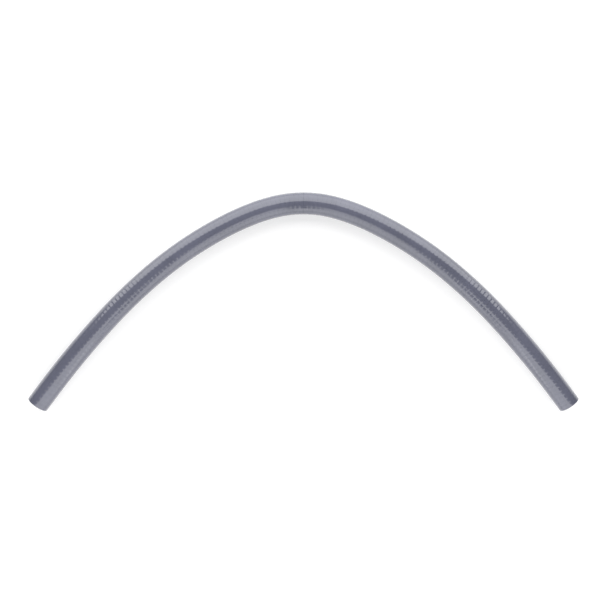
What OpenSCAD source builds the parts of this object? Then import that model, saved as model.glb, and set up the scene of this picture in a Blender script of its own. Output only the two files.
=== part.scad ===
// Ribbed flexible PVC hose for pool and spa vacuuming, about 1.5 m long, lying flat in a relaxed bow.
// Its wall is three bonded layers: a smooth liner, a rigid ring under each rib, and a ribbed cover.
// The hose lies on the XY plane, the same on both sides of X = 0, with the middle of the bow towards +Y.
// Distances along the hose are measured on its centreline, from the middle towards an end.

/* [Bore and wall] */
// Diameter of the smooth bore
bore_d = 40.9; // [36:0.1:44]
// Wall of the liner
liner_wall = 1; // [0.8:0.1:2]
// Wall of the cover outside a ring
cover_wall = 1.18; // [1:0.01:2]
// Bond line between two layers
bond = 0.1; // [0.05:0.05:0.2]

/* [Stiffening rings] */
// Length of a ring along the hose
ring_w = 4.4; // [3:0.1:5]
// Thickness of a ring, outwards from the liner
ring_thick = 1.3; // [0.8:0.1:2]

/* [Ribs] */
// Distance from one rib to the next
rib_pitch = 9.85; // [9:0.05:12]
// Width of the groove between two ribs
groove_w = 2.4; // [1:0.1:3]
// Depth of the groove between two ribs
groove_depth = 0.3; // [0.2:0.05:0.6]

/* [Ends] */
// Number of ribs on the straight length at each end, where a fitting goes on
end_ribs = 5; // [4:1:8]

/* [Hidden] */

// The bow from its middle to the straight end: how many ribs each bend holds, and how many degrees
// it turns. The straight end falls four in three, which is 53.1301 degrees below the X axis.
BENDS = [[6, 13], [5, 7.4], [6, 6.2], [20, 13.5], [14, 7.1], [20, 5.9301]];

// Radii across the wall, from the bore outwards
bore_r = bore_d / 2;
liner_r = bore_r + liner_wall;
ring_inner_r = liner_r + bond;
ring_outer_r = ring_inner_r + ring_thick;
cover_r = ring_outer_r + bond;
hose_r = cover_r + cover_wall;
groove_r = hose_r - groove_depth;

// Along the hose, from the middle to one end
bends = len(BENDS);
function bend_length(k) = BENDS[k][0] * rib_pitch;
function ribs_before(k) = k == 0 ? 0 : ribs_before(k - 1) + BENDS[k - 1][0];
function bend_start(k) = ribs_before(k) * rib_pitch;
function bend_radius(k) = bend_length(k) / BENDS[k][1] * 180 / PI;
function bend_turn(k, length) = BENDS[k][1] * length / bend_length(k);
bow_length = bend_start(bends);
end_length = end_ribs * rib_pitch;
half_length = bow_length + end_length;
half_ribs = round(half_length / rib_pitch);

// The hose's heading below +X at the start of bend k, and where that bend starts
function heading(k) = k == 0 ? 0 : heading(k - 1) + BENDS[k - 1][1];
function ahead(heading) = [cos(heading), -sin(heading)];
function across(heading) = [sin(heading), cos(heading)];
function arc_step(k, heading) = bend_radius(k) * (across(heading) - across(heading(k)));
function place(k) = k == 0 ? [0, 0] : place(k - 1) + arc_step(k - 1, heading(k));

// The bend that a distance along the hose falls in, with the heading and the place there
function bend_at(s, k = 0) = k == bends || s < bend_start(k + 1) ? k : bend_at(s, k + 1);
function heading_at(s, k) = k == bends ? heading(k) : heading(k) + bend_turn(k, s - bend_start(k));
function place_at(s, k) = k == bends
    ? place(k) + (s - bow_length) * ahead(heading(k))
    : place(k) + arc_step(k, heading_at(s, k));

// The origin is under the middle of the box that the hose fills
end_heading = heading(bends);
end_place = place_at(half_length, bends);
middle_y = (hose_r + end_place[1] - hose_r * across(end_heading)[1]) / 2;

// One bend of a layer stops this far from the next, and a sleeve within the liner's wall joins its bends
seam = 0.2;
sleeve_lap = 1;
sleeve_skin = liner_wall / 4;

// The web between two rings, which leaves them room on the inside of the tightest bend
tightest = bend_radius(0);
web_w = rib_pitch * (1 - ring_outer_r / tightest) - ring_w - 2 * bond;

// Fineness of the tube's circle, and of the bend that it is swept round
$fn = 72;
sweep_fn = 256;

module ring_profile(r_in, r_out) {
    difference() {
        circle(r_out);
        circle(r_in);
    }
}

// Puts its children at a distance along the hose, on its centreline, with their Z along the hose
module at_distance(s) {
    k = bend_at(s);
    translate([place_at(s, k)[0], place_at(s, k)[1], 0])
        rotate([0, 0, -heading_at(s, k)])
            rotate([0, 90, 0])
                children();
}

// A short straight tube round the centreline, with its middle at a distance along the hose
module straight_ring(s, length, r_in, r_out) {
    at_distance(s)
        translate([0, 0, -length / 2])
            linear_extrude(length)
                ring_profile(r_in, r_out);
}

// A straight tube round the centreline, between two distances along the hose
module straight_tube(from, to, r_in, r_out) {
    straight_ring((from + to) / 2, to - from, r_in, r_out);
}

// A tube bent as bend k is, from its near end at a distance along the hose
module bent_tube(k, s, length, r_in, r_out) {
    at_distance(s)
        rotate([0, -90, 0])
            translate([0, -bend_radius(k), 0])
                rotate([0, 0, 90 - bend_turn(k, length)])
                    rotate_extrude(angle = bend_turn(k, length), $fn = sweep_fn)
                        translate([bend_radius(k), 0])
                            ring_profile(r_in, r_out);
}

// Seats its children, which lie along the centreline, on the XY plane
module seated() {
    translate([0, -middle_y, hose_r])
        children();
}

// Draws its children on the +X side and again, mirrored, on the -X side
module both_sides() {
    for (side = [0, 1])
        mirror([side, 0, 0])
            children();
}

// The web at a groove, which is in two halves where one bend of the cover stops and the next starts
module web(groove) {
    meets = len([for (k = [1 : bends - 1]) if (ribs_before(k) == groove) k]) > 0;
    half_web = (web_w - seam) / 2;
    if (meets)
        at_distance(groove * rib_pitch)
            for (way = [-1, 1])
                translate([0, 0, way * (seam + half_web) / 2])
                    linear_extrude(half_web, center = true)
                        ring_profile(ring_inner_r, groove_r);
    else
        straight_ring(groove * rib_pitch, web_w, ring_inner_r, groove_r);
}

module inner_liner() {
    color([0.56, 0.56, 0.62])
        seated() {
            bent_tube(0, seam / 2 - bend_length(0), 2 * bend_length(0) - seam, bore_r, liner_r);
            both_sides() {
                for (k = [1 : bends - 1])
                    bent_tube(k, bend_start(k) + seam / 2, bend_length(k) - seam, bore_r, liner_r);
                for (k = [1 : bends])
                    straight_ring(
                        bend_start(k),
                        seam + 2 * sleeve_lap,
                        bore_r + sleeve_skin,
                        liner_r - sleeve_skin
                    );
                straight_tube(bow_length + seam / 2, half_length, bore_r, liner_r);
            }
        }
}

module stiffening_rings() {
    color([0.32, 0.33, 0.37])
        seated()
            both_sides()
                for (rib = [1 : half_ribs])
                    straight_ring((rib - 0.5) * rib_pitch, ring_w, ring_inner_r, ring_outer_r);
}

module outer_cover() {
    last_rib = half_length - rib_pitch + groove_w / 2;
    last_web = half_length - (rib_pitch - ring_w) / 2 + bond;
    color([0.44, 0.44, 0.5])
        seated() {
            web(0);
            both_sides() {
                for (rib = [1 : half_ribs - 1])
                    straight_ring((rib - 0.5) * rib_pitch, rib_pitch - groove_w, cover_r, hose_r);
                for (groove = [1 : half_ribs - 1])
                    web(groove);
                straight_tube(last_rib, half_length, cover_r, hose_r);
                straight_tube(last_web, half_length, ring_inner_r, groove_r);
            }
        }
}

inner_liner();
stiffening_rings();
outer_cover();
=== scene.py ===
import math

import bpy
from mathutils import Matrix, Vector


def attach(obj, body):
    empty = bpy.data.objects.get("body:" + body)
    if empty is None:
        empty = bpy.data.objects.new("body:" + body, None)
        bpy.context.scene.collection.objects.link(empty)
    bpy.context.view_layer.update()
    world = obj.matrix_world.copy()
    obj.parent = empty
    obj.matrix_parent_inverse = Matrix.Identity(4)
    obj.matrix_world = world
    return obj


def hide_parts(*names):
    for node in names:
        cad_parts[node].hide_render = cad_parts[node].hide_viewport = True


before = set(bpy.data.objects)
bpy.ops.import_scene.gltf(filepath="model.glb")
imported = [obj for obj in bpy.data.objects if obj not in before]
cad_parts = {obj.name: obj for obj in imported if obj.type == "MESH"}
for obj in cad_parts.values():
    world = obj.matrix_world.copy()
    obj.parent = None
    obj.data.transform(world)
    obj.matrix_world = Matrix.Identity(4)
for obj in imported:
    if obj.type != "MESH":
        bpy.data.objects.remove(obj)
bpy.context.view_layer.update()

# ---------------------------------------------------------------- the hose's sizes, in metres
MM = 0.001
PITCH = 9.85 * MM
END_RIBS = 5
# The bow from its middle to the straight end: how many ribs each bend holds, and the degrees it turns
BENDS = [(6, 13.0), (5, 7.4), (6, 6.2), (20, 13.5), (14, 7.1), (20, 5.9301)]
BORE_R = 20.45 * MM
LINER_R = 21.45 * MM
COVER_IN_R = 21.55 * MM
HOSE_R = 24.13 * MM

# One rib along the hose: a step up out of the groove, an edge, a flat band, and a slope down
GROOVE_DEPTH = 0.3 * MM
STEP_LENGTH = 0.12 * MM
EDGE_LENGTH = 0.3 * MM
LAP_LENGTH = 2.6 * MM
# Points of the slope: shares of its length, from just before it starts, and shares of the groove's depth
LAP_POINTS = ((-0.12, 0), (0.04, 0.01), (0.2, 0.15), (0.5, 0.45), (0.8, 0.76))

# The cut ends: a length without a groove, and the rounding of each edge
PLAIN_END = 0.6 * PITCH
COVER_RIM = 1.3 * MM
COVER_INNER_RIM = 0.25 * MM
LINER_RIM = 0.3 * MM

# How fine the meshes and the cord's path are
AROUND = 72
COVER_STEPS = 100
LINER_STEPS = 200
PATH_STEPS = 400
COVER_RIM_STEPS = 5
COVER_INNER_RIM_STEPS = 3
LINER_RIM_STEPS = 4
# Faces that meet at more than this angle keep a crisp edge
CRISP_DEGREES = 40

half_ribs = sum(ribs for ribs, turn in BENDS) + END_RIBS
half_length = half_ribs * PITCH


def route(distance):
    """The centreline's place and heading at a distance from the middle, with the +X side above 0."""
    side = -1 if distance < 0 else 1
    left = abs(distance)
    x, y, heading = 0.0, 0.0, 0.0
    for ribs, turn in BENDS + [(END_RIBS, 0.0)]:
        length = ribs * PITCH
        run = min(left, length)
        if turn:
            radius = length / math.radians(turn)
            after = heading + run / radius
            x += radius * (math.sin(after) - math.sin(heading))
            y += radius * (math.cos(after) - math.cos(heading))
            heading = after
        else:
            x += run * math.cos(heading)
            y -= run * math.sin(heading)
        left -= run
    return side * x, y, side * heading


end_x, end_y, end_heading = route(half_length)
middle_y = (HOSE_R + end_y - HOSE_R * math.cos(end_heading)) / 2


def at(distance):
    """The centreline's point in the CAD frame, with the ways ahead (+X) and across (+Y) there."""
    x, y, heading = route(distance)
    point = Vector((x, y - middle_y, HOSE_R))
    ahead = Vector((math.cos(heading), -math.sin(heading), 0))
    across = Vector((math.sin(heading), math.cos(heading), 0))
    return point, ahead, across


# ---------------------------------------------------------------- camera, which looks straight down
LENS_PLACE = (-0.0075, 0.0037, HOSE_R + 1.8163)
camera_data = bpy.data.cameras.new("camera")
camera_data.lens = 50
camera_data.sensor_width = 36
camera_data.clip_end = 50
camera = bpy.data.objects.new("camera", camera_data)
camera.location = LENS_PLACE
bpy.context.scene.collection.objects.link(camera)
bpy.context.scene.camera = camera


# ---------------------------------------------------------------- the cover and the liner
def swept(name, stations):
    """A closed shell of revolution round the centreline. Its stations are (distance, radius) in order,
    and the last joins the first."""
    verts, faces = [], []
    for distance, radius in stations:
        point, ahead, across = at(distance)
        for k in range(AROUND):
            angle = 2 * math.pi * k / AROUND
            rim = across * math.sin(angle) + Vector((0, 0, math.cos(angle)))
            verts.append(point + rim * radius)
    count = len(stations)
    for i in range(count):
        near = i * AROUND
        far = ((i + 1) % count) * AROUND
        for k in range(AROUND):
            n = (k + 1) % AROUND
            faces.append((near + k, near + n, far + n, far + k))
    mesh = bpy.data.meshes.new(name)
    mesh.from_pydata([tuple(v) for v in verts], [], faces)
    mesh.validate()
    mesh.update()
    obj = bpy.data.objects.new(name, mesh)
    bpy.context.scene.collection.objects.link(obj)
    for polygon in mesh.polygons:
        polygon.use_smooth = True
    mesh.set_sharp_from_angle(angle=math.radians(CRISP_DEGREES))
    return obj


def quarter(centre_s, centre_r, radius, start, steps):
    """Stations round a quarter of a small rounding, from an angle in degrees to 90 degrees below it."""
    out = []
    for i in range(steps + 1):
        angle = math.radians(start - 90 * i / steps)
        out.append((centre_s + radius * math.cos(angle), centre_r + radius * math.sin(angle)))
    return out


def wall(radius, way, steps):
    """Stations along a smooth wall, from one end of the hose to the other, towards +X where way is 1."""
    return [(way * half_length * (2 * k / steps - 1), radius) for k in range(1, steps)]


def tube(name, outer_r, outer_rim, outer_steps, outer_wall, inner_r, inner_rim, inner_steps, inner_wall):
    """A tube's shell: its two walls, and a rounding at each edge of its two cut ends."""
    outer_end = half_length - outer_rim
    inner_end = half_length - inner_rim
    stations = quarter(-outer_end, outer_r - outer_rim, outer_rim, 180, outer_steps)
    stations += outer_wall
    stations += quarter(outer_end, outer_r - outer_rim, outer_rim, 90, outer_steps)
    stations += quarter(inner_end, inner_r + inner_rim, inner_rim, 0, inner_steps)
    stations += inner_wall
    stations += quarter(-inner_end, inner_r + inner_rim, inner_rim, -90, inner_steps)
    return swept(name, stations)


def rib_profile(left, right):
    """The outer stations of one rib on the +X side: a short step up out of the groove, a flat band, and a
    longer slope down towards the hose's end."""
    step_end = left + STEP_LENGTH
    out = [(left, HOSE_R - GROOVE_DEPTH), (step_end, HOSE_R), (step_end + EDGE_LENGTH, HOSE_R)]
    for along, down in LAP_POINTS:
        out.append((right - (1 - along) * LAP_LENGTH, HOSE_R - GROOVE_DEPTH * down))
    return out


def ribbed_wall():
    """The outer wall's stations from the -X end to the +X end, the same on both sides of the middle."""
    half = []
    for rib in range(half_ribs):
        half += rib_profile(rib * PITCH, (rib + 1) * PITCH)
    half = [(s, radius) for s, radius in half if s < half_length - PLAIN_END]
    return [(-s, radius) for s, radius in reversed(half[1:])] + half


cover = tube(
    "hose_cover",
    HOSE_R, COVER_RIM, COVER_RIM_STEPS, ribbed_wall(),
    COVER_IN_R, COVER_INNER_RIM, COVER_INNER_RIM_STEPS, wall(COVER_IN_R, -1, COVER_STEPS),
)
liner = tube(
    "bore_liner",
    LINER_R, LINER_RIM, LINER_RIM_STEPS, wall(LINER_R, 1, LINER_STEPS),
    BORE_R, LINER_RIM, LINER_RIM_STEPS, wall(BORE_R, -1, LINER_STEPS),
)

line = [at(-half_length + 2 * half_length * k / PATH_STEPS)[0] for k in range(PATH_STEPS + 1)]

# ---------------------------------------------------------------- materials
# Noise scales are in waves a metre, and the ripple's height is in metres
CLOUD_SCALE = 14
GRAIN_SCALE = 260
RIPPLE_SCALE = 90
RIPPLE_HEIGHT = 0.2 * MM
PVC_IOR = 1.53
# The coat over the PVC is a little glossier than the PVC
COAT_SMOOTHER = 0.04


def nodes_of(name):
    """A new material with its node tree and its shader."""
    material = bpy.data.materials.new(name)
    material.use_nodes = True
    tree = material.node_tree
    shader = tree.nodes["Principled BSDF"]
    return material, tree, shader


def noise(tree, coords, scale, detail, roughness=0.5):
    """The value of a noise that lies in the object's own space."""
    node = tree.nodes.new("ShaderNodeTexNoise")
    node.inputs["Scale"].default_value = scale
    node.inputs["Detail"].default_value = detail
    node.inputs["Roughness"].default_value = roughness
    tree.links.new(coords.outputs["Object"], node.inputs["Vector"])
    return node.outputs["Fac"]


def pvc(name, colour, dark, light, roughness, bump):
    """Moulded PVC: a slightly uneven colour, a faint grain in its gloss, and a shallow ripple."""
    material, tree, shader = nodes_of(name)
    make = tree.nodes.new
    link = tree.links.new
    coords = make("ShaderNodeTexCoord")

    tone = make("ShaderNodeValToRGB")
    tone.color_ramp.elements[0].position = 0.34
    tone.color_ramp.elements[0].color = (*dark, 1)
    tone.color_ramp.elements[1].position = 0.68
    tone.color_ramp.elements[1].color = (*light, 1)
    middle = tone.color_ramp.elements.new(0.5)
    middle.color = (*colour, 1)
    link(noise(tree, coords, CLOUD_SCALE, detail=5, roughness=0.55), tone.inputs["Fac"])
    link(tone.outputs["Color"], shader.inputs["Base Color"])

    gloss = make("ShaderNodeMapRange")
    gloss.inputs["From Min"].default_value = 0.3
    gloss.inputs["From Max"].default_value = 0.7
    gloss.inputs["To Min"].default_value = roughness - 0.03
    gloss.inputs["To Max"].default_value = roughness + 0.04
    link(noise(tree, coords, GRAIN_SCALE, detail=3), gloss.inputs["Value"])
    link(gloss.outputs["Result"], shader.inputs["Roughness"])

    ripple = make("ShaderNodeBump")
    ripple.inputs["Strength"].default_value = bump
    ripple.inputs["Distance"].default_value = RIPPLE_HEIGHT
    link(noise(tree, coords, RIPPLE_SCALE, detail=4), ripple.inputs["Height"])
    link(ripple.outputs["Normal"], shader.inputs["Normal"])

    shader.inputs["IOR"].default_value = PVC_IOR
    shader.inputs["Coat Weight"].default_value = 1.0
    shader.inputs["Coat Roughness"].default_value = roughness - COAT_SMOOTHER
    return material


cover_pvc = pvc(
    "cover_pvc_grey",
    colour=(0.116, 0.121, 0.168),
    dark=(0.105, 0.110, 0.153),
    light=(0.127, 0.132, 0.183),
    roughness=0.15,
    bump=0.12,
)
liner_pvc = pvc(
    "liner_pvc_grey",
    colour=(0.20, 0.20, 0.22),
    dark=(0.17, 0.17, 0.19),
    light=(0.23, 0.23, 0.25),
    roughness=0.36,
    bump=0.2,
)
ring_pvc = pvc(
    "ring_pvc_dark",
    colour=(0.060, 0.062, 0.074),
    dark=(0.05, 0.05, 0.06),
    light=(0.075, 0.078, 0.09),
    roughness=0.42,
    bump=0.3,
)

cover.data.materials.append(cover_pvc)
liner.data.materials.append(liner_pvc)
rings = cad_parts["stiffening_rings"]
for place in rings.material_slots:
    place.material = ring_pvc

# ---------------------------------------------------------------- what the pieces stand for
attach(cover, "root")
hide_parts("outer_cover")
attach(liner, "root")
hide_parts("inner_liner")

# ---------------------------------------------------------------- floor and world
FLOOR_SIZE = 12
PAPER_COLOUR = (0.6, 0.6, 0.6, 1)
WHITE = (1, 1, 1, 1)
# What the paper adds to its own colour for the camera and in reflections, so that it shows as white
PAPER_LIFT = 0.5
# The brightness of the room round the panels
ROOM = 0.2


def larger(tree, first, second):
    """The larger of two outputs."""
    node = tree.nodes.new("ShaderNodeMath")
    node.operation = "MAXIMUM"
    tree.links.new(first, node.inputs[0])
    tree.links.new(second, node.inputs[1])
    return node.outputs["Value"]


def white_paper():
    """Matt paper that shows as white to the camera, in reflections and through glass, and keeps shadows."""
    material, tree, shader = nodes_of("paper")
    shader.inputs["Base Color"].default_value = PAPER_COLOUR
    shader.inputs["Roughness"].default_value = 0.9
    shader.inputs["Specular IOR Level"].default_value = 0.1
    ray = tree.nodes.new("ShaderNodeLightPath").outputs
    mirrored = larger(tree, ray["Is Glossy Ray"], ray["Is Transmission Ray"])
    lift = tree.nodes.new("ShaderNodeMath")
    lift.operation = "MULTIPLY"
    lift.inputs[1].default_value = PAPER_LIFT
    tree.links.new(larger(tree, ray["Is Camera Ray"], mirrored), lift.inputs[0])
    shader.inputs["Emission Color"].default_value = WHITE
    tree.links.new(lift.outputs["Value"], shader.inputs["Emission Strength"])
    return material


bpy.ops.mesh.primitive_plane_add(size=FLOOR_SIZE, location=(0, 0, 0))
floor = bpy.context.object
floor.name = "studio_floor"
floor.data.materials.append(white_paper())

world = bpy.data.worlds.new("studio")
bpy.context.scene.world = world
world.use_nodes = True
background = world.node_tree.nodes["Background"]
background.inputs["Color"].default_value = WHITE
background.inputs["Strength"].default_value = ROOM

# ---------------------------------------------------------------- lights
FAR_GLOW = 2.15
NEAR_GLOW = 1.7


def softbox(name, place, way, width, height, glow):
    """A panel with its middle at a place, which faces a way. glow is its brightness, where white paper
    in full light is about 1."""
    data = bpy.data.lights.new(name, "AREA")
    data.shape = "RECTANGLE"
    data.size = width
    data.size_y = height
    data.energy = glow * math.pi * width * height
    lamp = bpy.data.objects.new(name, data)
    lamp.location = place
    lamp.rotation_euler = (-Vector(way)).to_track_quat("Z", "Y").to_euler()
    bpy.context.scene.collection.objects.link(lamp)


# A wide panel beyond the middle of the bow, and two on the near side with a low one between them
softbox("softbox_far", place=(0, 0.675, 0.565), way=(0, -1.06, -0.25), width=3.1, height=1.09, glow=FAR_GLOW)
softbox("softbox_front", place=(0, -0.72, 0.29), way=(0, 1, -0.2), width=0.14, height=0.56, glow=NEAR_GLOW)
for side, name in ((-1, "left"), (1, "right")):
    softbox(
        "softbox_near_" + name,
        place=(side * 0.72, -0.61, 0.535),
        way=(0, 1.02, -0.28),
        width=1.3,
        height=1.06,
        glow=NEAR_GLOW,
    )

bpy.context.scene.view_settings.view_transform = "Standard"
